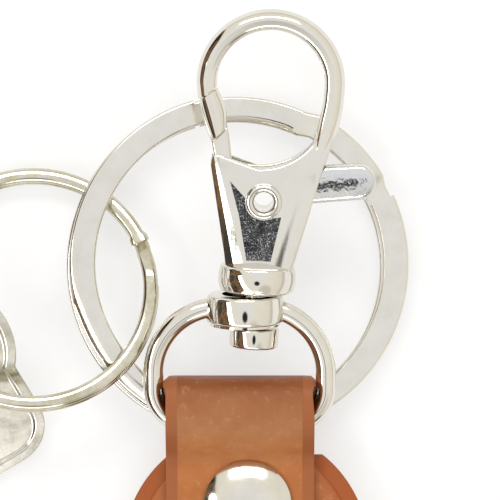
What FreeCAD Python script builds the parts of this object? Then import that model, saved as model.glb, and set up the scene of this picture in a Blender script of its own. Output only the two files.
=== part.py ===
"""Keychain: a round leather fob on a folded strap that carries a D loop with a swivelling
trigger clasp, a large flat split ring, a smaller wire split ring and a metal tag.

The origin is on the rivet's axis, at the flat crown of its back cap, which the fob lies on.
+Z points up through the fob's face, +Y from the fob towards the clasp. Millimetres, degrees.
"""
import FreeCAD, Part
import math
import os

import Sketcher

V = FreeCAD.Vector
ORIGIN = V(0, 0, 0)
AXIS_Z = V(0, 0, 1)

# Driving dimensions. A clasp size named _u is measured across the post's axis and one named
# _v along it, upwards from the collar's lower face.
SIZES = {
    # leather
    "leather_thick": 1.0,
    "strap_half": 7.75,          # half the strap's width
    "strap_x": -0.78,            # middle of the strap, from the rivet's axis
    "strap_end": 7.3,            # from the rivet's axis to the strap's two free ends
    "fold_reach": 13.5,          # from the rivet's axis to the outside of the fold
    "fold_headroom": 1.05,       # from the bar's top to the leather over it
    "fold_corner": 0.85,          # bend radii along the middle of the leather
    "fold_crown": 2.0,
    "fold_foot": 1.3,
    "slope_top": 1.0,            # the slope's ends, inwards from the bar's axis
    "slope_foot": 3.2,
    "strap_corner": 2.5,
    "fob_radius": 12.9,
    "fob_x": -0.16,
    "fob_y": -4.89,
    "fob_flat": 10.1,            # from the fob's centre to its straight edge under the strap
    "rim_width": 1.6,
    "rim_step": 0.25,
    # rivet
    "rivet_hole": 1.8,
    "cap_radius": 4.64,
    "cap_edge": 0.2,
    "cap_height": 1.5,
    "cap_wall": 0.35,
    "socket_flange": 3.6,
    "flange_thick": 0.25,
    "socket_radius": 1.75,
    "socket_depth": 2.6,
    "post_radius": 1.2,
    "post_play": 0.05,
    "back_crown": 2.6,
    "back_radius": 4.4,
    "back_height": 0.9,
    # D loop: bar_y and bar_lift place the bar, which the D and the clasp tilt about
    "wire_radius": 1.05,
    "strap_play": 0.19,          # from the strap's edge to the D's side
    "loop_x": -0.83,
    "bar_y": 8.68,
    "bar_lift": 4.0,             # from the strap's back layer up to the bar's axis
    "lift_angle": 8.6,
    "side_top": 5.2,
    "low_corner": 3.6,
    "shoulder_radius": 7.0,
    "loop_top": 12.46,
    "boss_u": 0.57,
    "boss_radius": 4.1,
    "boss_top": 13.6,
    "boss_height": 3.0,
    "boss_bevel": 0.25,
    "lip_radius": 3.7,
    "lip_height": 0.25,
    "boss_hole": 2.4,
    # clasp
    "post_u": 1.74,              # the post's axis at the collar, from the D's middle
    "swivel_gap": 0.27,
    "lean_angle": 2.8,
    "collar_radius": 3.9,
    "collar_height": 2.84,
    "collar_round": 0.6,
    "shank_radius": 1.1,
    "shank_depth": 5.0,
    "pin_play": 0.02,
    "knob_radius": 2.56,
    "knob_top": 3.75,
    "knob_height": 2.1,
    "knob_round": 0.35,
    "body_thick": 5.0,
    "hook_thick": 2.5,
    "slot_width": 2.4,
    "eye_u": 0.43,
    "eye_v": 21.83,
    "eye_outer": 7.7,
    "eye_inner": 5.57,
    "pivot_u": 0.29,
    "pivot_v": 9.72,
    "trigger_thick": 2.2,
    "tip_gap": 0.15,
    "eyelet_rim": 1.9,
    "eyelet_tube": 1.45,
    "eyelet_bore": 1.05,
    "rim_thick": 0.35,
    "eyelet_play": 0.03,
    "spring_u": 2.4,
    "spring_seat": 4.4,
    "spring_top": 8.3,
    "spring_coil": 0.8,
    "spring_wire": 0.14,
    "spring_turns": 6,
    # large flat ring
    "flat_x": -0.88,
    "flat_y": 25.21,
    "flat_lift": 1.07,           # from the strap's back layer up to the ring's middle
    "flat_outer": 17.84,
    "flat_inner": 15.1,
    "flat_coil": 0.7,
    "coil_gap": 0.05,
    "flat_bevel": 0.12,
    "flat_pitch": 4.2,           # falls towards +X
    "flat_roll": -1.7,           # falls towards +Y
    # small wire ring
    "wire_x": -22.46,
    "wire_y": 22.51,
    "wire_lift": 1.56,           # from the large ring's middle up to this one's
    "wire_outer": 13.1,
    "wire_width": 1.55,
    "wire_coil": 0.95,
    "wire_bevel": 0.3,
    "wire_pitch": 1.6,
    "wire_roll": -15.2,
    # tag
    "tag_turn": -60.0,
    "tag_tilt": 23.6,
    "tag_spot": 216.6,           # where it hangs, as an angle round the wire ring
    "tag_head": 8.2,
    "tag_half": 6.5,
    "tag_reach": 14.8,
    "tag_corner": 2.2,
    "tag_thick": 1.4,
    "tag_hole": 3.9,
    "tag_rim": 1.3,
    "tag_recess": 0.2,
}

doc = FreeCAD.newDocument("keychain")
sheet = doc.addObject("Spreadsheet::Sheet", "Sizes")
for row, (alias, number) in enumerate(SIZES.items(), start=1):
    sheet.set(f"A{row}", str(number))
    sheet.setAlias(f"A{row}", alias)
doc.recompute()


# ---------------------------------------------------------------- sums of sheet names
def amount(text):
    """Value of a sum of sheet names and numbers, such as 'cap_radius - cap_wall'."""
    total, sign = 0.0, 1.0
    for word in text.split():
        if word in ("+", "-"):
            sign = 1.0 if word == "+" else -1.0
        elif word[0].isdigit():
            total += sign * float(word)
        else:
            total += sign * float(sheet.get(word))
    return total


def formula(text):
    """The same sum, written for setExpression."""
    words = text.split()
    return " ".join(w if w in ("+", "-") or w[0].isdigit() else "Sizes." + w for w in words)


def degrees_cos(angle):
    return math.cos(math.radians(angle))


def degrees_sin(angle):
    return math.sin(math.radians(angle))


# ---------------------------------------------------------------- bodies and sketches
def new_body(name, placement=None):
    body = doc.addObject("PartDesign::Body", name)
    body.Label = name
    if placement:
        body.setExpression("Placement", placement)
    return body


def new_sketch(body, name, plane="XY_Plane", shift=None):
    """Sketch on one of the body's own origin planes; shift is (axis, sum) of its offset."""
    sketch = body.newObject("Sketcher::SketchObject", name)
    support = [f for f in body.Origin.OriginFeatures if f.Role == plane][0]
    sketch.AttachmentSupport = [(support, "")]
    sketch.MapMode = "FlatFace"
    if shift:
        sketch.setExpression("AttachmentOffset.Base." + shift[0], formula(shift[1]))
    return sketch


def pin_point(sketch, item, end, x, y):
    """Holds one end of a sketch item at the named sums x and y."""
    for kind, text in (("DistanceX", x), ("DistanceY", y)):
        index = sketch.addConstraint(Sketcher.Constraint(kind, -1, 1, item, end, amount(text)))
        sketch.setExpression(f"Constraints[{index}]", formula(text))


def polygon(sketch, corners):
    """Closed outline whose corners are pairs of sums of sheet names."""
    spots = [V(amount(x), amount(y), 0) for x, y in corners]
    count = len(spots)
    first = sketch.GeometryCount
    for n in range(count):
        sketch.addGeometry(Part.LineSegment(spots[n], spots[(n + 1) % count]))
    for n in range(count):
        after = first + (n + 1) % count
        sketch.addConstraint(Sketcher.Constraint("Coincident", first + n, 2, after, 1))
    for n, (x, y) in enumerate(corners):
        pin_point(sketch, first + n, 1, x, y)


def circle(sketch, x, y, radius):
    centre = V(amount(x), amount(y), 0)
    item = sketch.addGeometry(Part.Circle(centre, AXIS_Z, amount(radius)))
    pin_point(sketch, item, 3, x, y)
    index = sketch.addConstraint(Sketcher.Constraint("Radius", item, amount(radius)))
    sketch.setExpression(f"Constraints[{index}]", formula(radius))


def outline(sketch, pieces):
    for piece in pieces:
        sketch.addGeometry(piece)


def revolve(body, sketch, cut=False):
    doc.recompute()
    feature = body.newObject("PartDesign::Groove" if cut else "PartDesign::Revolution")
    feature.Profile = sketch
    feature.ReferenceAxis = (sketch, ["V_Axis"])
    feature.Angle = 360
    doc.recompute()
    return feature


def pad(body, sketch, length, middle=False):
    doc.recompute()
    feature = body.newObject("PartDesign::Pad")
    feature.Profile = sketch
    feature.setExpression("Length", formula(length))
    feature.SideType = "Symmetric" if middle else "One side"
    doc.recompute()
    return feature


def pocket(body, sketch, length, middle=True, flip=False):
    """Cuts the sketch into the body and fails when it takes nothing away."""
    doc.recompute()
    before = body.Shape.Volume
    feature = body.newObject("PartDesign::Pocket")
    feature.Profile = sketch
    feature.setExpression("Length", formula(length))
    feature.SideType = "Symmetric" if middle else "One side"
    feature.Reversed = flip
    doc.recompute()
    if body.Shape.Volume >= before:
        raise RuntimeError(sketch.Name + " cuts nothing")
    return feature


# ---------------------------------------------------------------- plane outlines
def line(a, b):
    return Part.LineSegment(V(*a, 0), V(*b, 0))


def arc(a, through, b):
    return Part.Arc(V(*a, 0), V(*through, 0), V(*b, 0))


def on_circle(centre, radius, angle):
    return (centre[0] + radius * degrees_cos(angle), centre[1] + radius * degrees_sin(angle))


def round_arc(centre, radius, start, end):
    """Arc from one angle to the other, given in degrees, the way the angles run."""
    middle = (start + end) / 2
    return arc(on_circle(centre, radius, start), on_circle(centre, radius, middle),
               on_circle(centre, radius, end))


def chain(points):
    return [line(a, b) for a, b in zip(points, points[1:])]


def offset_points(points, distance):
    """The open path moved to its left by distance, mitred at its corners."""
    headings = [(V(*b, 0) - V(*a, 0)).normalize() for a, b in zip(points, points[1:])]
    sides = [V(-h.y, h.x, 0) for h in headings]
    moved = [V(*points[0], 0) + sides[0] * distance]
    for n in range(1, len(points) - 1):
        mitre = sides[n - 1] + sides[n]
        moved.append(V(*points[n], 0) + mitre * (2 * distance / mitre.dot(mitre)))
    moved.append(V(*points[-1], 0) + sides[-1] * distance)
    return [(p.x, p.y) for p in moved]


def turn_sign(a, b, c):
    return 1 if (b[0] - a[0]) * (c[1] - b[1]) - (b[1] - a[1]) * (c[0] - b[0]) > 0 else -1


def rounded_path(points, radii):
    """Lines joined by tangent arcs, one radius for each inner point."""
    pieces, start = [], V(*points[0], 0)
    for n, radius in enumerate(radii, start=1):
        corner = V(*points[n], 0)
        back = (V(*points[n - 1], 0) - corner).normalize()
        ahead = (V(*points[n + 1], 0) - corner).normalize()
        half = back.getAngle(ahead) / 2
        reach = radius / math.tan(half)
        centre = corner + (back + ahead).normalize() * (radius / math.sin(half))
        near = corner + back * reach
        far = corner + ahead * reach
        middle = centre + (corner - centre).normalize() * radius
        pieces += [Part.LineSegment(start, near), Part.Arc(near, middle, far)]
        start = far
    pieces.append(Part.LineSegment(start, V(*points[-1], 0)))
    return pieces


def thick_path(points, radii, thickness):
    """Closed outline of a strip that follows the path, half its thickness on either side."""
    half = thickness / 2
    turns = [turn_sign(*points[n - 1:n + 2]) for n in range(1, len(points) - 1)]
    left, right = offset_points(points, half), offset_points(points, -half)
    left_radii = [r - t * half for r, t in zip(radii, turns)]
    right_radii = [r + t * half for r, t in zip(radii, turns)]
    ends = [line(left[0], right[0]), line(left[-1], right[-1])]
    return rounded_path(left, left_radii) + rounded_path(right, right_radii) + ends


# ---------------------------------------------------------------- heights through the fob
STRAP_BACK = "back_height"
FOB_BACK = STRAP_BACK + " + leather_thick"
FOB_FRONT = FOB_BACK + " + leather_thick"
STRAP_FRONT = FOB_FRONT + " + leather_thick"
STRAP_TOP = STRAP_FRONT + " + leather_thick"
BORE_TOP = STRAP_TOP + " + 1"
BAR_LEVEL = STRAP_BACK + " + leather_thick + bar_lift"
FLAT_LEVEL = STRAP_BACK + " + leather_thick + flat_lift"
WIRE_LEVEL = FLAT_LEVEL + " + wire_lift"


# ---------------------------------------------------------------- leather
def leather_strap():
    body = new_body("leather_strap", "placement(vector(Sizes.strap_x; 0; 0); rotation(0; 0; 0))")
    thick = amount("leather_thick")
    low = amount(STRAP_BACK) + thick / 2
    high = amount(STRAP_FRONT) + thick / 2
    crown = amount(BAR_LEVEL + " + wire_radius + fold_headroom") + thick / 2
    reach = amount("fold_reach") - thick / 2
    end = -amount("strap_end")
    path = [(end, low), (reach, low), (reach, crown),
            (amount("bar_y - slope_top"), crown), (amount("bar_y - slope_foot"), high), (end, high)]
    bends = [amount(n) for n in ("fold_corner", "fold_crown", "fold_crown", "fold_foot")]
    side = new_sketch(body, "strap_side", "YZ_Plane")
    outline(side, thick_path(path, bends, thick))
    pad(body, side, "strap_half + strap_half", middle=True)
    hole = new_sketch(body, "strap_hole")
    circle(hole, "- strap_x", "0", "rivet_hole")
    pocket(body, hole, BORE_TOP + " + " + BORE_TOP)
    corners = [f"Edge{n}" for n, edge in enumerate(body.Shape.Edges, start=1)
               if is_upright(edge) and edge.CenterOfMass.y < end + 0.01]
    bored = body.Tip
    fillet = body.newObject("PartDesign::Fillet", "strap_corners")
    fillet.Base = (bored, corners)
    fillet.setExpression("Radius", "Sizes.strap_corner")
    doc.recompute()


def is_upright(edge):
    box = edge.BoundBox
    return box.XLength < 0.001 and box.YLength < 0.001 and box.ZLength > 0.001


def disc_outline(radius, flat):
    """A disc trimmed straight across at the height flat above its centre."""
    edge = math.degrees(math.asin(flat / radius))
    return [round_arc((0, 0), radius, 180 - edge, 360 + edge),
            line(on_circle((0, 0), radius, edge), on_circle((0, 0), radius, 180 - edge))]


def fob_body(name, level):
    height = formula(level)
    return new_body(name, f"placement(vector(Sizes.fob_x; Sizes.fob_y; {height}); rotation(0; 0; 0))")


def bore_fob(body, name):
    hole = new_sketch(body, name)
    circle(hole, "- fob_x", "- fob_y", "rivet_hole")
    pocket(body, hole, "leather_thick + leather_thick + 1")


def fob_back():
    body = fob_body("fob_back", FOB_BACK)
    disc = new_sketch(body, "back_disc")
    outline(disc, disc_outline(amount("fob_radius"), amount("fob_flat")))
    pad(body, disc, "leather_thick")
    bore_fob(body, "back_hole")


def fob_front():
    body = fob_body("fob_front", FOB_FRONT)
    disc = new_sketch(body, "front_disc")
    outline(disc, disc_outline(amount("fob_radius"), amount("fob_flat")))
    pad(body, disc, "leather_thick - rim_step")
    panel = new_sketch(body, "front_panel", shift=("z", "leather_thick - rim_step"))
    outline(panel, disc_outline(amount("fob_radius - rim_width"), amount("fob_flat - rim_width")))
    pad(body, panel, "rim_step")
    bore_fob(body, "front_hole")


# ---------------------------------------------------------------- rivet
def rivet_front_cap():
    body = new_body("rivet_front_cap")
    base, edge, height = amount(STRAP_TOP), amount("cap_edge"), amount("cap_height")
    wall, radius = amount("cap_wall"), amount("cap_radius")
    rise = height - edge
    ball = (radius ** 2 + rise ** 2) / (2 * rise)
    centre = (0, base + height - ball)
    inner_ball, inner_radius = ball - wall, radius - wall
    outer_end = math.degrees(math.acos(radius / ball))
    inner_end = math.degrees(math.acos(inner_radius / inner_ball))
    section = new_sketch(body, "dome_section", "XZ_Plane")
    outline(section, [
        round_arc(centre, ball, outer_end, 90),
        line((0, base + height), (0, base + height - wall)),
        round_arc(centre, inner_ball, 90, inner_end),
        *chain([on_circle(centre, inner_ball, inner_end), (inner_radius, base),
                (radius, base), on_circle(centre, ball, outer_end)])])
    revolve(body, section)


def rivet_socket():
    body = new_body("rivet_socket")
    section = new_sketch(body, "socket_section", "XZ_Plane")
    bore = "post_radius + post_play"
    foot = STRAP_TOP + " - socket_depth"
    top = STRAP_TOP + " + flange_thick"
    polygon(section, [(bore, foot), ("socket_radius", foot), ("socket_radius", STRAP_TOP),
                      ("socket_flange", STRAP_TOP), ("socket_flange", top), (bore, top)])
    revolve(body, section)


def rivet_post():
    body = new_body("rivet_post")
    section = new_sketch(body, "post_section", "XZ_Plane")
    foot = STRAP_BACK + " - flange_thick"
    flange = "back_radius - cap_wall - post_play - post_play"
    polygon(section, [("0", foot), (flange, foot), (flange, STRAP_BACK),
                      ("post_radius", STRAP_BACK), ("post_radius", STRAP_TOP), ("0", STRAP_TOP)])
    revolve(body, section)


def rivet_back_cap():
    body = new_body("rivet_back_cap")
    section = new_sketch(body, "back_section", "XZ_Plane")
    inside = "back_radius - cap_wall"
    shoulder = "back_height - flange_thick - post_play"
    bend = shoulder + " - cap_wall"
    polygon(section, [("0", "0"), ("back_crown", "0"), ("back_radius", bend),
                      ("back_radius", "back_height"), (inside, "back_height"),
                      (inside, shoulder), ("back_crown - post_play", "cap_wall"),
                      ("0", "cap_wall")])
    revolve(body, section)


# ---------------------------------------------------------------- D loop
LOOP_PLACE = (f"placement(vector(Sizes.loop_x; Sizes.bar_y; {formula(BAR_LEVEL)});"
              " rotation(0; 0; Sizes.lift_angle))")


def loop_path():
    """Middle of the wire: bar, lower corners, sides, shoulders and top."""
    half = amount("strap_half + strap_play + wire_radius")
    corner, side = amount("low_corner"), amount("side_top")
    shoulder, top = amount("shoulder_radius"), amount("loop_top")
    inset, rise = half - shoulder, top - side
    crown = ((rise ** 2 + inset ** 2 - shoulder ** 2) / (2 * (rise - shoulder)))
    turn = math.degrees(math.atan2(side - (top - crown), inset))
    return [
        line((corner - half, 0), (half - corner, 0)),
        round_arc((half - corner, corner), corner, -90, 0),
        line((half, corner), (half, side)),
        round_arc((inset, side), shoulder, 0, turn),
        round_arc((0, top - crown), crown, turn, 180 - turn),
        round_arc((-inset, side), shoulder, 180 - turn, 180),
        line((-half, side), (-half, corner)),
        round_arc((corner - half, corner), corner, 180, 270),
    ]


def d_loop():
    body = new_body("d_loop", LOOP_PLACE)
    path = new_sketch(body, "loop_path")
    outline(path, loop_path())
    wire = new_sketch(body, "loop_wire", "YZ_Plane")
    circle(wire, "0", "0", "wire_radius")
    doc.recompute()
    bent = body.newObject("PartDesign::AdditivePipe", "bent_wire")
    bent.Profile = wire
    bent.Spine = (path, [])
    doc.recompute()
    boss = new_sketch(body, "boss_section", shift=("x", "boss_u"))
    low = "boss_top - boss_height"
    lip = low + " - lip_height"
    shallow = "boss_radius - boss_bevel"
    polygon(boss, [("0", lip), ("lip_radius", lip), ("lip_radius", low), (shallow, low),
                   ("boss_radius", low + " + boss_bevel"), ("boss_radius", "boss_top - boss_bevel"),
                   (shallow, "boss_top"), ("0", "boss_top")])
    revolve(body, boss)
    hole = new_sketch(body, "boss_bore", shift=("x", "boss_u"))
    polygon(hole, [("0", lip + " - 2"), ("boss_hole", lip + " - 2"),
                   ("boss_hole", "boss_top + 2"), ("0", "boss_top + 2")])
    revolve(body, hole, cut=True)


# ---------------------------------------------------------------- clasp
COLLAR_V = "(Sizes.boss_top + Sizes.swivel_gap)"
CLASP_PLACE = ("placement(vector(Sizes.loop_x + Sizes.post_u;"
               f" Sizes.bar_y + {COLLAR_V} * cos(Sizes.lift_angle);"
               f" {formula(BAR_LEVEL)} + {COLLAR_V} * sin(Sizes.lift_angle));"
               " rotation(0; 0; Sizes.lift_angle) * rotation(-Sizes.lean_angle; 0; 0))")


def clasp_place(u, v, roll=0):
    """Placement of something at (u, v) in the clasp's plane, tipped by roll about the u axis."""
    return (CLASP_PLACE + f" * placement(vector({formula(u)}; {formula(v)}; 0);"
            f" rotation(0; 0; {roll}))")


WAIST = [(3.85, 2.6), (3.85, 3.6), (6.2, 13.4)]           # right flank, upwards
FLANK = [(-5.2, 14.2), (-5.35, 13.2), (-3.56, 4.15), (-3.3, 2.6)]   # left flank, downwards
SADDLE = [(4.65, 15.3), (0.12, 13.1), (-3.39, 13.65)]     # from the leg across to the left


def tangent_leg(radius_at_eye, foot):
    """Arc that leaves the eye's circle upright and comes down to foot."""
    side, level = amount("eye_u") + radius_at_eye, amount("eye_v")
    across, drop = side - foot[0], level - foot[1]
    bend = (across ** 2 + drop ** 2) / (2 * across)
    half = math.degrees(math.asin(drop / bend)) / 2
    middle = (side - bend + bend * degrees_cos(half), level - bend * degrees_sin(half))
    return arc((side, level), middle, foot)


def hook_outline():
    """The whole casting seen from above: body, right leg and eye, open at the left."""
    centre = (amount("eye_u"), amount("eye_v"))
    outer, inner = amount("eye_outer"), amount("eye_inner")
    outer_tip, inner_tip = 194.8, 185.5
    return [
        *chain([FLANK[-1], *WAIST]),
        tangent_leg(outer, WAIST[-1]),
        round_arc(centre, outer, 0, outer_tip),
        line(on_circle(centre, outer, outer_tip), on_circle(centre, inner, inner_tip)),
        round_arc(centre, inner, inner_tip, 0),
        tangent_leg(inner, SADDLE[0]),
        arc(*SADDLE),
        *chain([SADDLE[-1], (-4.67, 14.35), *FLANK]),
    ]


def body_outline():
    """The thick lower body, up to where the leg thins into the hook."""
    return [
        *chain([FLANK[-1], *WAIST, (6.93, 15.6), (5.1, 16.6), SADDLE[0]]),
        arc(*SADDLE),
        *chain([SADDLE[-1], (-4.67, 14.35), *FLANK]),
    ]


def hook_body():
    body = new_body("hook_body", CLASP_PLACE)
    hook = new_sketch(body, "hook_shape")
    outline(hook, hook_outline())
    pad(body, hook, "hook_thick", middle=True)
    lower = new_sketch(body, "body_shape")
    outline(lower, body_outline())
    pad(body, lower, "body_thick", middle=True)
    collar = new_sketch(body, "collar_section")
    narrow = "collar_radius - collar_round"
    polygon(collar, [("0", "0"), (narrow, "0"), ("collar_radius", "collar_round"),
                     ("collar_radius", "collar_height - collar_round"),
                     (narrow, "collar_height"), ("0", "collar_height")])
    revolve(body, collar)
    bore = new_sketch(body, "shank_bore")
    radius = "shank_radius + pin_play"
    polygon(bore, [("0", "- 1"), (radius, "- 1"), (radius, "shank_depth + pin_play"),
                   ("0", "shank_depth + pin_play")])
    revolve(body, bore, cut=True)
    slot = new_sketch(body, "trigger_slot")
    coil = "spring_coil + spring_wire + 0.2"
    floor, seat = "spring_seat + 2.2", "spring_seat"
    polygon(slot, [("- 8", floor), ("spring_u - " + coil.replace("+", "-"), floor),
                   ("spring_u - " + coil.replace("+", "-"), seat), ("spring_u + " + coil, seat),
                   ("spring_u + " + coil, floor), ("9", floor), ("9", "14.1"), ("0.4", "13.9"),
                   ("0.4", "17.6"), ("- 8", "17.6")])
    pocket(body, slot, "slot_width")
    pivot = new_sketch(body, "pivot_hole")
    circle(pivot, "pivot_u", "pivot_v", "eyelet_tube + eyelet_play")
    pocket(body, pivot, "body_thick + 2")


def swivel_pin():
    body = new_body("swivel_pin", CLASP_PLACE)
    section = new_sketch(body, "pin_section")
    top, foot = "- knob_top", "- knob_top - knob_height"
    narrow = "knob_radius - knob_round"
    polygon(section, [("0", foot), (narrow, foot), ("knob_radius", foot + " + knob_round"),
                      ("knob_radius", top), ("shank_radius", top),
                      ("shank_radius", "shank_depth"), ("0", "shank_depth")])
    revolve(body, section)


TIP_RIGHT = (-4.95, 21.1)
GATE_FOOT = [(-3.86, 16.9), (-5.45, 15.4)]


def gate_top():
    """The gate's upper edge, parallel to the cut at the hook's tip."""
    centre = (amount("eye_u"), amount("eye_v"))
    left = on_circle(centre, amount("eye_outer"), 194.8)
    right = on_circle(centre, amount("eye_inner"), 185.5)
    across = (V(*right, 0) - V(*left, 0)).normalize()
    down = V(across.y, -across.x, 0) * amount("tip_gap")
    return [(left[0] + down.x, left[1] + down.y), (right[0] + down.x, right[1] + down.y)]


def trigger_outline():
    """Gate and stem at the left, hub round the pivot, thumb lever at the right."""
    left, right = gate_top()
    return [
        *chain([left, right, (-4.07, 19.1), (-3.85, 17.4), (-3.6, 16.2), (-3.15, 13.6),
                (-1.8, 12.4), (2.0, 12.4), (4.0, 13.2), (6.2, 13.5), (10.2, 13.85)]),
        arc((10.2, 13.85), (11.8, 12.0), (10.35, 10.2)),
        *chain([(10.35, 10.2), (5.29, 9.55), (3.6, 8.3), (1.3, 8.3), (1.2, 7.2), (-1.0, 7.2),
                (-2.6, 8.4), (-4.95, 13.2), (-5.45, 15.4), (-6.15, 17.0), left]),
    ]


def gate_outline():
    left, right = gate_top()
    return chain([left, right, (-4.07, 19.1), (-3.85, 17.4), *GATE_FOOT, (-6.15, 17.0), left])


def trigger():
    body = new_body("trigger", CLASP_PLACE)
    plate = new_sketch(body, "trigger_shape")
    outline(plate, trigger_outline())
    pad(body, plate, "trigger_thick", middle=True)
    gate = new_sketch(body, "gate_shape")
    outline(gate, gate_outline())
    pad(body, gate, "hook_thick", middle=True)
    pivot = new_sketch(body, "trigger_bore")
    circle(pivot, "pivot_u", "pivot_v", "eyelet_tube + eyelet_play + eyelet_play")
    pocket(body, pivot, "trigger_thick + 2")


def trigger_pin():
    body = new_body("trigger_pin", clasp_place("pivot_u", "pivot_v"))
    section = new_sketch(body, "eyelet_section", "XZ_Plane")
    half = amount("body_thick") / 2
    rim = half + amount("rim_thick")
    bore, tube, flange = amount("eyelet_bore"), amount("eyelet_tube"), amount("eyelet_rim")
    outline(section, chain([(bore, -rim), (flange, -rim), (flange, -half), (tube, -half),
                            (tube, half), (flange, half), (flange, rim), (bore, rim),
                            (bore, -rim)]))
    revolve(body, section)


def trigger_spring():
    wire, coil = amount("spring_wire"), amount("spring_coil")
    low = amount("spring_seat") + wire + 0.02
    tall = amount("spring_top - spring_seat") - 2 * wire - 0.04
    path = Part.makeHelix(tall / amount("spring_turns"), tall, coil)
    start = Part.Circle(V(coil, 0, 0), V(0, 1, 0), wire)
    coiled = Part.Wire(path.Edges).makePipeShell([Part.Wire(start.toShape())], True, True)
    spring = doc.addObject("Part::Feature", "trigger_spring")
    spring.Label = "trigger_spring"
    spring.Shape = coiled
    spring.setExpression("Placement", clasp_place("spring_u", f"{low:.4f}", -90))


# ---------------------------------------------------------------- split rings
def coil_section(inner, outer, level, height, bevel, angle):
    """Bevelled cross-section of a coil, upright at the given angle round the ring."""
    low, high = level - height / 2, level + height / 2
    corners = [(inner + bevel, low), (outer - bevel, low), (outer, low + bevel),
               (outer, high - bevel), (outer - bevel, high), (inner + bevel, high),
               (inner, high - bevel), (inner, low + bevel)]
    points = [V(x, 0, z) for x, z in corners]
    wire = Part.makePolygon(points + points[:1])
    wire.rotate(ORIGIN, AXIS_Z, angle)
    return wire


def split_coils(name, section, runs, placement):
    """One strip joined from level runs and the ramps between them.

    section(level, angle) gives the strip's outline; runs are (level, first, last) angles in
    the order they follow each other, and a ramp fills the space from one run to the next.
    """
    solids = []
    for level, first, last in runs:
        face = Part.Face(section(level, min(first, last)))
        solids.append(face.revolve(ORIGIN, AXIS_Z, abs(last - first)))
    for (level, _, end), (next_level, begin, _) in zip(runs, runs[1:]):
        wires = [section(level, end), section(next_level, begin)]
        solids.append(Part.makeLoft(wires, True, True))
    ring = doc.addObject("Part::Feature", name)
    ring.Label = name
    ring.Shape = solids[0].multiFuse(solids[1:])
    ring.setExpression("Placement", placement)


def flat_ring():
    inner, outer, height = amount("flat_inner"), amount("flat_outer"), amount("flat_coil")
    level = (height + amount("coil_gap")) / 2
    bevel = amount("flat_bevel")

    def section(side, angle):
        return coil_section(inner, outer, side * level, height, bevel, angle)

    runs = [(1, 24, -255), (-1, -259, -293), (1, -297, -325), (-1, -334, -613.5)]
    split_coils("flat_ring", section, runs,
                f"placement(vector(Sizes.flat_x; Sizes.flat_y; {formula(FLAT_LEVEL)});"
                " rotation(0; Sizes.flat_pitch; Sizes.flat_roll))")


WIRE_PLACE = (f"placement(vector(Sizes.wire_x; Sizes.wire_y; {formula(WIRE_LEVEL)});"
              " rotation(0; Sizes.wire_pitch; Sizes.wire_roll))")


def split_ring():
    outer, height = amount("wire_outer"), amount("wire_coil")
    inner = outer - amount("wire_width")
    level = (height + amount("coil_gap")) / 2
    bevel = amount("wire_bevel")

    def section(side, angle):
        return coil_section(inner, outer, side * level, height, bevel, angle)

    runs = [(1, 24, 368), (-1, 382, 722)]
    split_coils("split_ring", section, runs, WIRE_PLACE)


# ---------------------------------------------------------------- tag
def tag_outline(head, half, reach, corner):
    """Round head, straight flanks and a foot with rounded corners; the hole is the origin."""
    side = math.degrees(math.asin(half / head))
    join = on_circle((0, 0), head, side)
    return [
        round_arc((0, 0), head, side, 360 - side),
        line((join[0], -join[1]), (reach - corner, -half)),
        round_arc((reach - corner, corner - half), corner, -90, 0),
        line((reach, corner - half), (reach, half - corner)),
        round_arc((reach - corner, half - corner), corner, 0, 90),
        line((reach - corner, half), join),
    ]


def panel_outline():
    """The recessed panel below the hole, one rim's width inside the edge."""
    half, reach = amount("tag_half - tag_rim"), amount("tag_reach - tag_rim")
    corner = amount("tag_corner - tag_rim")
    top = amount("tag_hole + tag_rim")
    return [
        line((top, half), (top, -half)),
        line((top, -half), (reach - corner, -half)),
        round_arc((reach - corner, corner - half), corner, -90, 0),
        line((reach, corner - half), (reach, half - corner)),
        round_arc((reach - corner, half - corner), corner, 0, 90),
        line((reach - corner, half), (top, half)),
    ]


def tag():
    middle = "(Sizes.wire_outer - Sizes.wire_width / 2)"
    place = (WIRE_PLACE + f" * placement(vector({middle} * cos(Sizes.tag_spot);"
             f" {middle} * sin(Sizes.tag_spot); 0); rotation(0; 0; 0))"
             " * placement(vector(0; 0; 0);"
             " rotation(0; 0; -Sizes.wire_roll) * rotation(0; -Sizes.wire_pitch; 0)"
             " * rotation(Sizes.tag_turn; Sizes.tag_tilt; 0))")
    body = new_body("tag", place)
    plate = new_sketch(body, "tag_shape")
    outline(plate, tag_outline(amount("tag_head"), amount("tag_half"), amount("tag_reach"),
                               amount("tag_corner")))
    pad(body, plate, "tag_thick", middle=True)
    hole = new_sketch(body, "tag_eye")
    circle(hole, "0", "0", "tag_hole")
    pocket(body, hole, "tag_thick + 2")
    for name, flip in (("front_recess", False), ("back_recess", True)):
        panel = new_sketch(body, name)
        depth = amount("tag_thick") / 2
        panel.AttachmentOffset = FreeCAD.Placement(
            V(0, 0, -depth if flip else depth), FreeCAD.Rotation())
        outline(panel, panel_outline())
        pocket(body, panel, "tag_recess", middle=False, flip=flip)


# ---------------------------------------------------------------- build, check, export
PIECES = [
    leather_strap, fob_front, fob_back, rivet_front_cap, rivet_socket, rivet_post,
    rivet_back_cap, d_loop, hook_body, swivel_pin, trigger, trigger_pin, trigger_spring,
    flat_ring, split_ring, tag,
]


def check_document():
    for item in doc.Objects:
        if "Invalid" in item.State or "Error" in item.State:
            raise RuntimeError(f"{item.Label} failed: {item.State}")
    for piece in PIECES:
        shape = doc.getObject(piece.__name__).Shape
        if shape.isNull() or not shape.isValid() or len(shape.Solids) != 1:
            raise RuntimeError(piece.__name__ + " is not one valid solid")


for piece in PIECES:
    piece()
doc.recompute()
check_document()
os.makedirs("parts", exist_ok=True)
for piece in PIECES:
    doc.getObject(piece.__name__).Shape.exportStep(f"parts/{piece.__name__}.step")
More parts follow.
